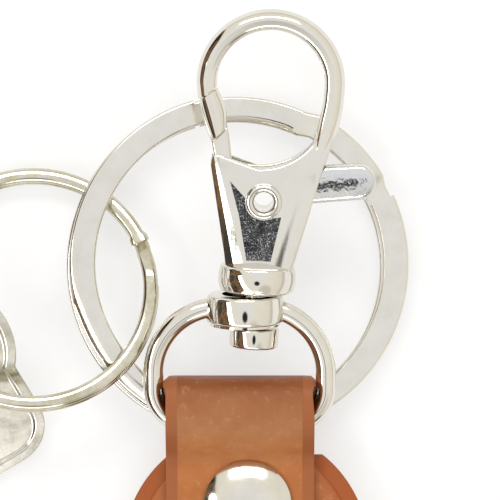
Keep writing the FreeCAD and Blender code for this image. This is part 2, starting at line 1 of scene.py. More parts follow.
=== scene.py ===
"""Looks of the keychain: leather fob and strap, D loop, swivelling clasp, two rings and a tag.

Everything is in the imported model's frame: the origin is under the rivet, on the face that the
keychain lies on, with Z up and Y towards the clasp. Sizes are millimetres until piece() and
carve() scale them to metres.
"""

import bmesh
import bpy
import math
from mathutils import Matrix, Vector


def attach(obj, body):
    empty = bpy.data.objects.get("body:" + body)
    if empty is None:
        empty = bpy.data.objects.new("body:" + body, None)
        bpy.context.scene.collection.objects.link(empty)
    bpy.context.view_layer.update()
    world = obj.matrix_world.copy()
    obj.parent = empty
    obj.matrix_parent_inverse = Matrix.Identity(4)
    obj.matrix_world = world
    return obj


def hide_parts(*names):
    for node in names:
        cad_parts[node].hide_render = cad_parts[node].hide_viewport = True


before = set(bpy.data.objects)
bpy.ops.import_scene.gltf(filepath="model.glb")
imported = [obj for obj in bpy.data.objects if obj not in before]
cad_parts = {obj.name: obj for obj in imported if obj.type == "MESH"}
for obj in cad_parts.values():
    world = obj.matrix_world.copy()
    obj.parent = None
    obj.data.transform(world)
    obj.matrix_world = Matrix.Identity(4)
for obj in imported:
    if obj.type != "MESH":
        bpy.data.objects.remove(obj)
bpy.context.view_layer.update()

MM = 0.001                                   # one millimetre in the frame's metres


# ---------------------------------------------------------------- places of the parts
def shift(x, y, z=0.0):
    return Matrix.Translation((x, y, z))


def turn(axis, degrees):
    return Matrix.Rotation(math.radians(degrees), 4, axis)


UPRIGHT = turn("X", 90)                      # a lathe's length along Z instead of Y
LOOP = shift(-0.83, 8.68, 5.9) @ turn("X", 8.6)
CLASP = LOOP @ shift(1.74, 13.87) @ turn("Z", -2.8)        # leans on the large ring
EYELET = CLASP @ shift(0.29, 9.72) @ UPRIGHT
LARGE_RING = shift(-0.88, 25.21, 2.97) @ turn("Y", 4.2) @ turn("X", -1.7)
SMALL_RING = shift(-22.46, 22.51, 4.53) @ turn("Y", 1.6) @ turn("X", -15.2)
TAG = shift(-32.297, 15.419, 6.732) @ turn("Z", -60) @ turn("Y", 23.6)

STRAP_X, STRAP_HALF = -0.78, 7.75            # middle line and half width
STRAP_END = -7.3                             # where both runs stop, past the rivet
# where its middle layer turns, as Y, Z and how far each bend reaches
STRAP_BENDS = [(13.0, 1.4, 0.85), (13.0, 8.5, 2.0), (8.3, 8.5, 1.9), (5.2, 4.4, 1.2)]
HIDE_THICK = 1.0
FOB_X, FOB_Y, FOB_RADIUS = -0.16, -4.89, 12.9
DOME_TOP = 6.4                               # height of the rivet's crown


# ---------------------------------------------------------------- materials
def colour(code):
    """sRGB hex to the linear colour that shaders take."""
    parts = [int(code[i:i + 2], 16) / 255 for i in (1, 3, 5)]
    return [c / 12.92 if c <= 0.04045 else ((c + 0.055) / 1.055) ** 2.4 for c in parts] + [1]


def every(size):
    """Texture scale that repeats a feature about every size millimetres."""
    return 1 / (size * MM)


def add(tree, kind, inputs=None, stops=None, **settings):
    """One node with its settings; an input is a value or another node's output."""
    node = tree.nodes.new(kind)
    for name, value in settings.items():
        setattr(node, name, value)
    for name, value in (inputs or {}).items():
        if isinstance(value, bpy.types.NodeSocket):
            tree.links.new(value, node.inputs[name])
        else:
            node.inputs[name].default_value = value
    if stops:
        marks = node.color_ramp.elements
        for _ in range(len(stops) - 2):
            marks.new(0.5)
        for mark, (place, shade) in zip(marks, stops):
            mark.position = place
            mark.color = shade
    return node


def new_material(name):
    material = bpy.data.materials.new(name)
    material.use_nodes = True
    tree = material.node_tree
    tree.nodes.clear()
    where = add(tree, "ShaderNodeTexCoord").outputs["Object"]
    return material, tree, where


def metal(name, hue, gloss, peel, peel_height):
    """Plated metal: a clear mirror with a faint skin of waves left by the polishing wheel.

    gloss is its mean roughness. peel is the waves' width and peel_height their depth, in
    millimetres.
    """
    material, tree, where = new_material(name)
    waves = add(tree, "ShaderNodeTexNoise", {"Vector": where, "Scale": every(peel),
                                            "Detail": 2.0})
    # handling leaves it duller and clearer by a third, in blotches about 2.4 mm across
    wear = add(tree, "ShaderNodeTexNoise", {"Vector": where, "Scale": every(2.4), "Detail": 6.0,
                                           "Roughness": 0.65})
    rough = add(tree, "ShaderNodeMapRange", {"Value": wear.outputs["Fac"], 1: 0.3, 2: 0.7,
                                            3: 0.65 * gloss, 4: 1.35 * gloss})
    tint = add(tree, "ShaderNodeValToRGB", {"Fac": wear.outputs["Fac"]},
               stops=[(0.3, colour(hue)), (0.75, colour("#E4E1DA"))])
    bump = add(tree, "ShaderNodeBump", {"Height": waves.outputs["Fac"], "Strength": 1.0,
                                       "Distance": peel_height * MM})
    shader = add(tree, "ShaderNodeBsdfPrincipled", {
        "Base Color": tint.outputs["Color"], "Metallic": 1.0,
        "Roughness": rough.outputs["Result"], "Normal": bump.outputs["Normal"]})
    add(tree, "ShaderNodeOutputMaterial", {"Surface": shader.outputs["BSDF"]})
    return material


# Bright nickel over zinc, die cast and barrel polished: a warm grey mirror, a little wavy.
polished_nickel = metal("polished_nickel", "#DEDAD0", 0.07, 2.2, 0.003)

# The same plating where the wheel didn't reach, on the panel's floor and the thumb lever: a
# hammered skin of dimples half a millimetre across, which breaks up what is reflected in it.
# Its hue, darker and bluer than the polished plating's, is partly a painted dark reflection.
hammered_nickel_painted_dark = metal("hammered_nickel_painted_dark", "#CDD0D6", 0.12, 0.45, 0.036)

# Rolled steel, nickel plated and tumbled, as the large ring's strip and the rivet's pressed
# dome are: flatter and slightly satin.
rolled_nickel = metal("rolled_nickel", "#DAD6CC", 0.13, 1.6, 0.003)

# Hardened spring wire under a thin plating: yellower, and not as clear.
wire_nickel = metal("wire_nickel", "#BDB698", 0.11, 1.2, 0.006)

# Stamped tag plate, nickel plated, with the press's faint grain.
stamped_nickel = metal("stamped_nickel", "#CBC8BD", 0.17, 0.5, 0.003)

# Plain drawn spring wire, unplated: darker and dull.
spring_steel = metal("spring_steel", "#A8A6A2", 0.30, 0.4, 0.003)


def leather(name, body_shades, band_mask, band_shade, tone=None):
    """Vegetable-tanned hide with its grain left on and a light wax finish.

    Small round pores, fine crossing creases and pale scuffs over a blotchy dye, and a darker
    burnished band where band_mask(tree, place) is 1.
    """
    material, tree, where = new_material(name)
    place = add(tree, "ShaderNodeSeparateXYZ", {"Vector": where}).outputs
    blotch = add(tree, "ShaderNodeTexNoise", {"Vector": where, "Scale": every(3.5), "Detail": 5.0,
                                             "Roughness": 0.6})
    dye = add(tree, "ShaderNodeValToRGB", {"Fac": blotch.outputs["Fac"]},
              stops=[(at, colour(shade)) for at, shade in body_shades])
    skin = dye.outputs["Color"]
    # tone may add painted shade, as the strap's does over its fold
    if tone:
        skin = tone(tree, place, skin)
    scuffs = add(tree, "ShaderNodeTexNoise", {"Vector": where, "Scale": every(0.9), "Detail": 7.0,
                                             "Roughness": 0.75})
    pale = add(tree, "ShaderNodeMapRange", {"Value": scuffs.outputs["Fac"], 1: 0.56, 2: 0.74,
                                           3: 0.0, 4: 0.45})
    scuffed = add(tree, "ShaderNodeMix", {0: pale.outputs["Result"], 6: skin,
                                         7: colour("#C98F6B")}, data_type="RGBA")
    edge = band_mask(tree, place)
    banded = add(tree, "ShaderNodeMix", {0: edge, 6: scuffed.outputs[2], 7: colour(band_shade)},
                 data_type="RGBA")
    # pores about 0.3 mm across and creases about 0.8 mm apart
    pores = add(tree, "ShaderNodeTexVoronoi", {"Vector": where, "Scale": every(0.3)})
    stretch = add(tree, "ShaderNodeMapping", {"Vector": where, "Rotation": (0, 0, 0.5),
                                             "Scale": (0.45, 1.6, 1.0)})
    creases = add(tree, "ShaderNodeTexNoise", {"Vector": stretch.outputs["Vector"],
                                              "Scale": every(0.55), "Detail": 6.0,
                                              "Roughness": 0.7})
    grain = add(tree, "ShaderNodeMath", {0: pores.outputs["Distance"], 1: 0.3,
                                        2: creases.outputs["Fac"]}, operation="MULTIPLY_ADD")
    relief = add(tree, "ShaderNodeBump", {"Height": grain.outputs["Value"], "Strength": 0.7,
                                         "Distance": 0.05 * MM})
    pressed = add(tree, "ShaderNodeBump", {
        "Height": edge, "Strength": 0.6, "Distance": 0.08 * MM,
        "Normal": relief.outputs["Normal"]}, invert=True)
    rough = add(tree, "ShaderNodeMapRange", {"Value": creases.outputs["Fac"], 1: 0.3, 2: 0.7,
                                            3: 0.46, 4: 0.66})
    shader = add(tree, "ShaderNodeBsdfPrincipled", {
        "Base Color": banded.outputs[2], "Roughness": rough.outputs["Result"],
        "Specular IOR Level": 0.35, "Normal": pressed.outputs["Normal"]})
    add(tree, "ShaderNodeOutputMaterial", {"Surface": shader.outputs["BSDF"]})
    return material


def strap_band(tree, place):
    """1 within 1.2 mm of the strap's long edges."""
    across = add(tree, "ShaderNodeMath", {0: place["X"], 1: -STRAP_X * MM}, operation="ADD")
    off = add(tree, "ShaderNodeMath", {0: across.outputs[0]}, operation="ABSOLUTE")
    return add(tree, "ShaderNodeMapRange", {
        "Value": off.outputs[0], 1: (STRAP_HALF - 1.3) * MM, 2: (STRAP_HALF - 1.12) * MM,
    }, interpolation_type="SMOOTHSTEP").outputs["Result"]


def fold_dye_and_painted_shade(tree, place, skin):
    """The dye is warmer round the rivet, and a wash darkens it over the fold towards the crown:
    partly the dye's own tone, partly painted shade of the curved fold.
    """
    along = add(tree, "ShaderNodeMapRange", {"Value": place["Y"], 1: 0.0, 2: 13.5 * MM})
    # painted shade: the last stops darken the strap where it curves over the fold, on top of the
    # dye's darker tone there
    wash = add(tree, "ShaderNodeValToRGB", {"Fac": along.outputs["Result"]}, stops=[
        (0.1, colour("#F0DCBE")), (0.3, colour("#F4E2C8")), (0.47, colour("#FFFBF4")),
        (0.62, colour("#E4E3E5")), (0.78, colour("#D7D0CA")), (0.93, colour("#BEA179"))])
    return add(tree, "ShaderNodeMix", {0: 1.0, 6: skin, 7: wash.outputs["Color"]},
               data_type="RGBA", blend_type="MULTIPLY").outputs[2]


def fob_band(tree, place):
    """1 within the fob's smooth rim, 1.6 mm wide."""
    level = add(tree, "ShaderNodeCombineXYZ", {"X": place["X"], "Y": place["Y"]})
    off = add(tree, "ShaderNodeVectorMath", {0: level.outputs[0], 1: (FOB_X * MM, FOB_Y * MM, 0)},
              operation="DISTANCE")
    return add(tree, "ShaderNodeMapRange", {
        "Value": off.outputs["Value"], 1: (FOB_RADIUS - 1.75) * MM, 2: (FOB_RADIUS - 1.5) * MM,
    }, interpolation_type="SMOOTHSTEP").outputs["Result"]


strap_hide = leather("tan_strap_hide", [(0.3, "#A86B3D"), (0.5, "#AE7243"), (0.7, "#B37A4C")],
                     strap_band, "#92532B", fold_dye_and_painted_shade)
fob_hide = leather("tan_fob_hide", [(0.3, "#935126"), (0.5, "#9A562A"), (0.7, "#A15F33")],
                   fob_band, "#954C1D")


# ---------------------------------------------------------------- shaping
def outline(start, moves):
    """Flat closed face: a move is a corner (x, y), or an arc (centre x, centre y, degrees)."""
    bm = bmesh.new()
    pen = bm.verts.new((*start, 0))
    for move in moves:
        if len(move) == 2:
            pen = bmesh.ops.extrude_vert_indiv(bm, verts=[pen])["verts"][0]
            pen.co = (*move, 0)
        else:
            swung = bmesh.ops.spin(bm, geom=[pen], cent=(move[0], move[1], 0), axis=(0, 0, 1),
                                   angle=math.radians(move[2]),
                                   steps=max(2, round(abs(move[2]) / 5)))
            pen = [v for v in swung["geom_last"] if isinstance(v, bmesh.types.BMVert)][0]
    bmesh.ops.remove_doubles(bm, verts=bm.verts, dist=0.01)
    return bm


def plate(start, moves, low, high):
    """Outline filled and thickened from the height low to high."""
    bm = outline(start, moves)
    bmesh.ops.contextual_create(bm, geom=bm.edges[:])
    bmesh.ops.translate(bm, verts=bm.verts, vec=(0, 0, low))
    push(bm, next(iter(bm.faces)), shift(0, 0, high - low))
    bmesh.ops.recalc_face_normals(bm, faces=bm.faces)
    return bm


def lathe(start, moves, steps=96):
    """Closed section in (radius, height) turned round the Y axis."""
    bm = outline(start, moves)
    bmesh.ops.spin(bm, geom=bm.verts[:] + bm.edges[:], cent=(0, 0, 0), axis=(0, 1, 0),
                   angle=math.tau, steps=steps, use_merge=True)
    bmesh.ops.remove_doubles(bm, verts=bm.verts, dist=0.001)
    bmesh.ops.recalc_face_normals(bm, faces=bm.faces)
    return bm


def push(bm, tip, move):
    """Extrudes the end face tip by the matrix move and returns the new end."""
    grown = bmesh.ops.extrude_face_region(bm, geom=[tip] + tip.edges[:] + tip.verts[:])["geom"]
    ahead = [g for g in grown if isinstance(g, bmesh.types.BMFace)][0]
    bmesh.ops.transform(bm, matrix=move, verts=ahead.verts)
    return ahead


def swing(bm, tip, centre, degrees, rise=0.0, step=4.0):
    """Carries the end face tip round a centre, rising as it goes."""
    steps = max(1, round(abs(degrees) / step))
    swung = bmesh.ops.spin(bm, geom=[tip] + tip.edges[:] + tip.verts[:], cent=(*centre, 0),
                           axis=(0, 0, 1), angle=math.radians(degrees), steps=steps,
                           dvec=(0, 0, rise / steps))
    return [g for g in swung["geom_last"] if isinstance(g, bmesh.types.BMFace)][0]


def bar_end(half_width, half_height, corner, place, ridge=0.0, inner=None):
    """Face that stands across the path at place, as the start of a bar.

    It is a rectangle with round corners, whose top and bottom may rise to a crisp ridge.
    The two corners at -X may be rounded less, by inner.
    """
    side = half_height - ridge
    bm = outline((half_width, side), [(0, half_height), (-half_width, side),
                                      (-half_width, -side), (0, -half_height),
                                      (half_width, -side), (half_width, side)])
    bmesh.ops.contextual_create(bm, geom=bm.edges[:])
    if ridge:
        mark = bm.verts.layers.int.new("ridge")
        for v in bm.verts:
            v[mark] = abs(v.co.x) < 0.01
    for side, radius in ((1, corner), (-1, inner or corner)):
        bmesh.ops.bevel(bm, geom=[v for v in bm.verts if side * v.co.x > half_width - 0.01],
                        offset=radius, offset_type="OFFSET", affect="VERTICES", segments=6,
                        profile=0.5, material=-1)
    bmesh.ops.transform(bm, matrix=place @ UPRIGHT, verts=bm.verts)
    return bm, next(iter(bm.faces))


def station(u, v, width, height, slant):
    """Place of a bar's section: its centre, its scale across and up, and its turn."""
    return shift(u, v) @ turn("Z", slant) @ Matrix.Diagonal((width, 1, height, 1))


def draw(bm, tip, keys):
    """Draws the end face tip through the key stations, by a smooth spline in short steps."""
    here, last = station(*keys[0]), len(keys) - 1
    for step in range(1, 4 * last + 1):
        n, part = divmod(step / 4, 1)
        if n == last:
            n, part = n - 1, 1
        around = [keys[int(max(0, min(last, n + k)))] for k in (-1, 0, 1, 2)]
        there = station(*[
            q + part * (r - p + part * (2 * p - 5 * q + 4 * r - s
                                        + part * (3 * q - p - 3 * r + s))) / 2
            for p, q, r, s in zip(*around)])
        tip = push(bm, tip, there @ here.inverted())
        here = there
    return tip


def score(bm, across, first, last, step):
    """Cuts the shape by parallel planes, so that it can bend between them."""
    for n in range(round((last - first) / step) + 1):
        bmesh.ops.bisect_plane(bm, geom=bm.verts[:] + bm.edges[:] + bm.faces[:],
                               plane_co=Vector(across) * (first + n * step), plane_no=across)


def ramp(value, low, high):
    """0 below low, 1 above high, and a straight rise between."""
    return max(0.0, min(1.0, (value - low) / (high - low)))


def ease(value, low, high):
    """The same with a smooth rise."""
    part = ramp(value, low, high)
    return part * part * (3 - 2 * part)


def middle(edge):
    return (edge.verts[0].co + edge.verts[1].co) / 2


def steepness(edge):
    """How far an edge climbs from one end to the other."""
    return abs(edge.verts[0].co.z - edge.verts[1].co.z)


def shave(bm, point, heading, tilt):
    """Planes the shoulder off both faces of a plate, from point down towards heading."""
    x, y, z = point
    for side in (1, -1):
        out = turn("Z", heading) @ Vector((math.sin(math.radians(tilt)), 0,
                                           side * math.cos(math.radians(tilt))))
        bmesh.ops.bisect_plane(bm, geom=bm.verts[:] + bm.edges[:] + bm.faces[:],
                               plane_co=(x, y, side * z), plane_no=out, clear_outer=True)
        bmesh.ops.contextual_create(bm, geom=[e for e in bm.edges if e.is_boundary])


def soften(bm, width, segments, sharper_than, only=None):
    """Rounds the edges whose faces meet at more than an angle, or only some of them."""
    edges = [e for e in bm.edges if len(e.link_faces) == 2
             and e.calc_face_angle() > math.radians(sharper_than) and (not only or only(e))]
    bmesh.ops.bevel(bm, geom=edges, offset=width, offset_type="OFFSET", affect="EDGES",
                    segments=segments, profile=0.5, material=-1, clamp_overlap=True)


def shade(mesh, crisp=38):
    """Smooth shading, but sharp where faces meet steeply and along a bar's marked ridge."""
    mesh.shade_smooth()
    mesh.set_sharp_from_angle(angle=math.radians(crisp))
    ridge = mesh.attributes.get("ridge")
    for edge in mesh.edges if ridge else ():
        if all(ridge.data[n].value for n in edge.vertices):
            edge.use_edge_sharp = True


def piece(name, bm, place, body, finish, stands_for=(), crisp=38):
    """Turns the shape into a named object in its place that moves with its body."""
    bmesh.ops.transform(bm, matrix=Matrix.Scale(MM, 4) @ place, verts=bm.verts)
    mesh = bpy.data.meshes.new(name)
    bm.to_mesh(mesh)
    bm.free()
    thing = bpy.data.objects.new(name, mesh)
    bpy.context.scene.collection.objects.link(thing)
    mesh.materials.append(finish)
    shade(mesh, crisp)
    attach(thing, body)
    if stands_for:
        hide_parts(*stands_for)
    return thing


def carve(thing, cutter, place):
    """Cuts the shape cutter, given in millimetres at place, out of a finished piece."""
    bmesh.ops.recalc_face_normals(cutter, faces=cutter.faces)
    bmesh.ops.transform(cutter, matrix=Matrix.Scale(MM, 4) @ place, verts=cutter.verts)
    mesh = bpy.data.meshes.new("cutter")
    cutter.to_mesh(mesh)
    cutter.free()
    tool = bpy.data.objects.new("cutter", mesh)
    bpy.context.scene.collection.objects.link(tool)
    cut = thing.modifiers.new("cut", "BOOLEAN")
    cut.object, cut.operation, cut.solver = tool, "DIFFERENCE", "EXACT"
    graph = bpy.context.evaluated_depsgraph_get()
    carved = bpy.data.meshes.new_from_object(thing.evaluated_get(graph))
    thing.modifiers.clear()
    old, thing.data = thing.data, carved
    carved.name = thing.name
    bpy.data.meshes.remove(old)
    bpy.data.objects.remove(tool)
    shade(carved)


def refinish(thing, finish, place, chosen):
    """Another finish on the faces that chosen(centre, normal) picks, the centre as drawn."""
    thing.data.materials.append(finish)
    as_drawn = (Matrix.Scale(MM, 4) @ place).inverted()
    for face in thing.data.polygons:
        if chosen(as_drawn @ face.center, face.normal):
            face.material_index = 1


def live_bevel(thing, width, sharper_than):
    """Rounds a finished piece's sharp edges by a modifier."""
    edge = thing.modifiers.new("rounded_edges", "BEVEL")
    edge.width, edge.segments = width * MM, 3
    edge.limit_method, edge.angle_limit = "ANGLE", math.radians(sharper_than)


# ---------------------------------------------------------------- leather strap
def strap():
    """One strip folded over the bar: bent along its creases, then thickened."""
    bm = bmesh.new()
    low, high = STRAP_BENDS[0][1], STRAP_BENDS[-1][1]
    pen = bm.verts.new((-STRAP_HALF, STRAP_END, low))
    for y, z in [bend[:2] for bend in STRAP_BENDS] + [(STRAP_END, high)]:
        pen = bmesh.ops.extrude_vert_indiv(bm, verts=[pen])["verts"][0]
        pen.co = (-STRAP_HALF, y, z)
    wide = bmesh.ops.extrude_edge_only(bm, edges=bm.edges[:])["geom"]
    bmesh.ops.translate(bm, vec=(2 * STRAP_HALF, 0, 0),
                        verts=[g for g in wide if isinstance(g, bmesh.types.BMVert)])
    corners = [v for v in bm.verts if v.co.y < STRAP_END + 0.1]
    bmesh.ops.bevel(bm, geom=corners, offset=2.5, offset_type="OFFSET", affect="VERTICES",
                    segments=7, profile=0.5, material=-1)
    for y, z, reach in STRAP_BENDS:
        fold = [e for e in bm.edges if all(abs(v.co.y - y) + abs(v.co.z - z) < 0.01
                                           for v in e.verts)]
        bmesh.ops.bevel(bm, geom=fold, offset=reach, offset_type="OFFSET", affect="EDGES",
                        segments=8, profile=0.5, material=-1)
    score(bm, (1, 0, 0), -7.25, 7.25, 0.5)
    score(bm, (0, 1, 0), -6.8, 3.8, 0.48)        # the flat runs
    score(bm, (0, 0, 1), 2.7, 4.1, 0.62)         # the fold's back, below and above the bar
    score(bm, (0, 0, 1), 5.8, 6.5, 0.6)
    settle(bm)
    bmesh.ops.recalc_face_normals(bm, faces=bm.faces)
    thing = piece("strap", bm, shift(STRAP_X, 0), "leather", strap_hide,
                  ["leather_strap"])
    skin = thing.modifiers.new("thickness", "SOLIDIFY")
    skin.thickness, skin.offset, skin.use_even_offset = HIDE_THICK * MM, 0.0, True
    live_bevel(thing, 0.22, 50)


def settle(bm):
    """The fold sags a little between its worn corners, and the rivet presses the upper run."""
    for v in bm.verts:
        share = v.co.x / STRAP_HALF
        over = ramp(v.co.y, 9.5, 12.5) * ramp(v.co.z, 4.0, 7.0)
        v.co.y -= 0.26 * over * (1 - share ** 2)
        v.co.z -= 0.12 * over * (1 - share ** 2)
        v.co.x -= 0.28 * over * max(0.0, share) ** 3
        v.co.y -= 0.45 * ease(v.co.y, 11.6, 12.6) * ease(abs(share), 0.925, 1.0)
        off = math.hypot(v.co.x + STRAP_X, v.co.y)
        if v.co.z > 3:
            v.co.z -= 0.16 * (0.5 + 0.5 * math.cos(math.pi * ramp(off, 4.5, 6.9)))


# ---------------------------------------------------------------- fob
def fob_disc(high, pressed):
    """Round leather disc, cut straight under the strap; the front one has its rim pressed."""
    straight = 10.1                              # from the disc's middle to the straight edge
    bm = bmesh.new()
    bmesh.ops.create_circle(bm, cap_ends=True, radius=FOB_RADIUS, segments=180)
    top = push(bm, next(iter(bm.faces)), shift(0, 0, high))
    rims = [e for f in bm.faces if len(f.verts) > 4 for e in f.edges]
    if pressed:
        for wide, rise in ((1.45, 0), (0.22, 0.2), (0.2, 0.04)):
            bmesh.ops.inset_region(bm, faces=[top], thickness=wide, depth=rise,
                                   use_even_offset=True)
    bmesh.ops.bevel(bm, geom=rims, offset=0.24, offset_type="OFFSET", affect="EDGES",
                    segments=4, profile=0.5, material=-1)
    bmesh.ops.recalc_face_normals(bm, faces=bm.faces)
    bmesh.ops.bisect_plane(bm, geom=bm.verts[:] + bm.edges[:] + bm.faces[:],
                           plane_co=(0, straight, 0), plane_no=(0, 1, 0), clear_outer=True)
    bmesh.ops.contextual_create(bm, geom=[e for e in bm.edges if e.is_boundary])
    bmesh.ops.recalc_face_normals(bm, faces=bm.faces)
    return bm


def fob():
    """Two discs face to face: pressing the front one's rim raises its middle by 0.24."""
    for name, node, high, low in (("fob_face", "fob_front", 0.75, 2.9),
                                  ("fob_lining", "fob_back", 0.98, 1.9)):
        piece(name, fob_disc(high, node == "fob_front"), shift(FOB_X, FOB_Y, low), "leather",
              fob_hide, [node])


# ---------------------------------------------------------------- rivet
def rivet():
    """Domed cap over the strap, and the flat-crowned cap that the keychain lies on."""
    dome = lathe((0, DOME_TOP), [(0, -2.531, -31.3), (4.64, 4.82), (4.42, 4.72), (4.2, 4.9),
                                 (0, 4.9), (0, DOME_TOP)])
    soften(dome, 0.09, 3, 40)
    piece("rivet_dome", dome, UPRIGHT, "leather", rolled_nickel, ["rivet_front_cap"])
    foot = lathe((0, 0), [(2.6, 0), (4.4, 0.25), (4.4, 0.9), (4.05, 0.9), (4.05, 0.6),
                          (2.55, 0.35), (0, 0.35), (0, 0)])
    soften(foot, 0.1, 3, 40)
    piece("rivet_foot", foot, UPRIGHT, "leather", polished_nickel, ["rivet_back_cap"])


# ---------------------------------------------------------------- D loop
def d_loop():
    """Round wire from one side of the boss, round the bar, to the other side of the boss."""
    radius, crown, half = 1.05, (0, -2.29), 8.99     # half is the middle line's half width
    foot, shoulder = 3.6, 7                          # radii of the lower and upper bends
    straight = 1.6
    bm, tip = bar_end(radius, radius, radius - 0.02,
                      shift(*crown) @ turn("Z", 76) @ shift(14.75, 0))
    tip = swing(bm, tip, crown, -0.88)
    tip = swing(bm, tip, (half - shoulder, foot + straight), -75.12)
    tip = push(bm, tip, shift(0, -straight))
    tip = swing(bm, tip, (half - foot, foot), -90)
    tip = push(bm, tip, shift(-2 * (half - foot), 0))
    tip = swing(bm, tip, (foot - half, foot), -90)
    tip = push(bm, tip, shift(0, straight))
    tip = swing(bm, tip, (shoulder - half, foot + straight), -75.12)
    swing(bm, tip, crown, -5.4)
    bmesh.ops.recalc_face_normals(bm, faces=bm.faces)
    piece("d_wire", bm, LOOP, "d_loop", polished_nickel, ["d_loop"])
    inside, low, high = 2.4, 10.35, 13.6             # the boss's bore and its two ends
    boss = lathe((inside, low), [(3.7, low), (3.7, 10.6), (4.07, 10.6), (-11.9, 11.4, 10.8),
                                 (inside, high), (inside, low)])
    soften(boss, 0.42, 5, 40, only=lambda e: e.verts[0].co.y > 10.5
           and math.hypot(e.verts[0].co.x, e.verts[0].co.z) > 3.8)
    piece("swivel_boss", boss, LOOP @ shift(0.57, 0), "d_loop", polished_nickel)


# ---------------------------------------------------------------- clasp
EYE, EYE_RADIUS = (0.43, 21.83), 6.635       # centre and radius of the band's middle line
BAND_HALF, BAND_HIGH = 1.065, 1.25           # the band's half width and half height
CUT_HALF, CUT_SLANT = 1.19, 217              # where the band is cut on the slant for the gate
SADDLE = (-0.557, 20.257, -69.6)             # centre and sweep, right to left
SLOT = 1.2                                   # half of the slot's height
THUMB = 4.5                                  # the lever is the thumb's beyond this X
BODY_HALF = 2.15                             # half of the body's height before it swells
FLOOR = 2.03                                 # level of the panel's flat floor


def hook():
    """The eye's band, swung from its slanted tip round to the right leg and into the body."""
    cut = (-6.064, 20.58)
    bm, tip = bar_end(CUT_HALF, BAND_HIGH, 1.12, shift(*cut) @ turn("Z", CUT_SLANT), ridge=0.1,
                      inner=0.7)
    sweep = 181
    first = station(EYE[0] + EYE_RADIUS * math.cos(math.radians(sweep)),
                    EYE[1] + EYE_RADIUS * math.sin(math.radians(sweep)),
                    BAND_HALF, BAND_HIGH, sweep)
    tip = push(bm, tip, first @ station(*cut, CUT_HALF, BAND_HIGH, CUT_SLANT).inverted())
    tip = swing(bm, tip, EYE, -sweep, step=3)
    draw(bm, tip, [
        (EYE[0] + EYE_RADIUS, EYE[1], BAND_HALF, BAND_HIGH, 0), (6.98, 19.9, 1.07, 1.25, -5),
        (6.68, 18.0, 1.08, 1.3, -11), (6.3, 16.4, 1.0, 1.45, -14.5),
        (5.93, 15.0, 0.9, 1.6, -15), (5.45, 13.4, 0.7, 1.6, -14.5),
        (5.0, 11.8, 0.6, 1.5, -13.5)])
    bmesh.ops.recalc_face_normals(bm, faces=bm.faces)
    return piece("clasp_hook", bm, CLASP, "clasp", polished_nickel, ["hook_body"])


BODY = ((-3.3, 2.6), [(3.62, 2.6), (3.8, 3.4), (5.74, 11.2), (6.29, 13.4), (6.83, 15.0),
                      (7.15, 16.4), (7.2, 17.8), (6.2, 17.8), SADDLE, (-4.67, 14.35), (-5.2, 14.2),
                      (-5.35, 13.2), (-3.56, 4.15), (-3.3, 2.6)])
PANEL = ((-1.2, 3.45), [(1.3, 3.45), (2.2, 8.2), (0.3, 7.9), (-1.8, 10.2), (-3.3, 11.7),
                        (-2.2, 8.2), (-1.2, 3.45)])


def clasp_body():
    """Cast plate with a planed left shoulder, whose two faces swell towards the eyelet.

    At the right the face drops to a narrow level step, beyond which it is the rail.
    """
    bm = plate(*BODY, -BODY_HALF, BODY_HALF)
    soften(bm, 0.9, 6, 60, only=lambda e: steepness(e) < 0.1 and middle(e).y > 2.7
           and (middle(e).x > -3.75 or middle(e).y > 13.3))
    shave(bm, (-3.0, 8.0, BODY_HALF), 196.6, 17.5)
    shave(bm, (-3.61, 7.65, 1.93), 194.85, 31)
    mark = bm.verts.layers.int.new("ridge")      # the crest between the two planed faces
    for e in bm.edges:
        if len(e.link_faces) == 2 and e.calc_length() > 6 and 10 < math.degrees(
                e.calc_face_angle()) < 20:
            for v in e.verts:
                v[mark] = 1
    bmesh.ops.recalc_face_normals(bm, faces=bm.faces)
    soften(bm, 0.2, 3, 50, only=lambda e: steepness(e) < 1 and 2.7 < e.verts[0].co.y < 13.6
           and all(v.co.x < -3 for v in e.verts))
    score(bm, (1, 0, 0), -5.0, 6.0, 0.5)
    score(bm, (0, 1, 0), 3.0, 17.5, 0.5)
    rail = Vector((0.97, -0.243, 0))             # square to the step
    score(bm, rail, 0.65, 1.95, 0.13)
    for v in bm.verts:
        fall = v.co.x ** 2 / 32 + (v.co.y - 7.5) ** 2 / 60
        leg = ease(v.co.y, 13.0, 17.8) * ease(v.co.x, 0.5, 4.5)
        step = ease(rail.dot(v.co), 0.8, 1.8) * ease(-v.co.y, -12.0, -9.0)
        v.co.z *= (2.45 - fall / (1 + fall) - 0.62 * leg
                   + (0.036 - 0.0007 * v.co.y) * step) / BODY_HALF
    bmesh.ops.recalc_face_normals(bm, faces=bm.faces)
    return piece("clasp_body", bm, CLASP, "clasp", polished_nickel, crisp=34)


def slot_cutter():
    """The room for the trigger: open at both flanks, closed below."""
    return plate((-8, 6.6), [(9, 6.6), (9, 14.1), (0.4, 13.9), (0.4, 17.6), (-8, 17.6),
                             (-8, 6.6)], -SLOT, SLOT)


def bore(radius, reach, steps):
    """Cylinder that cuts a hole, from -reach to reach."""
    return lathe((0, -reach), [(radius, -reach), (radius, reach), (0, reach), (0, -reach)], steps)


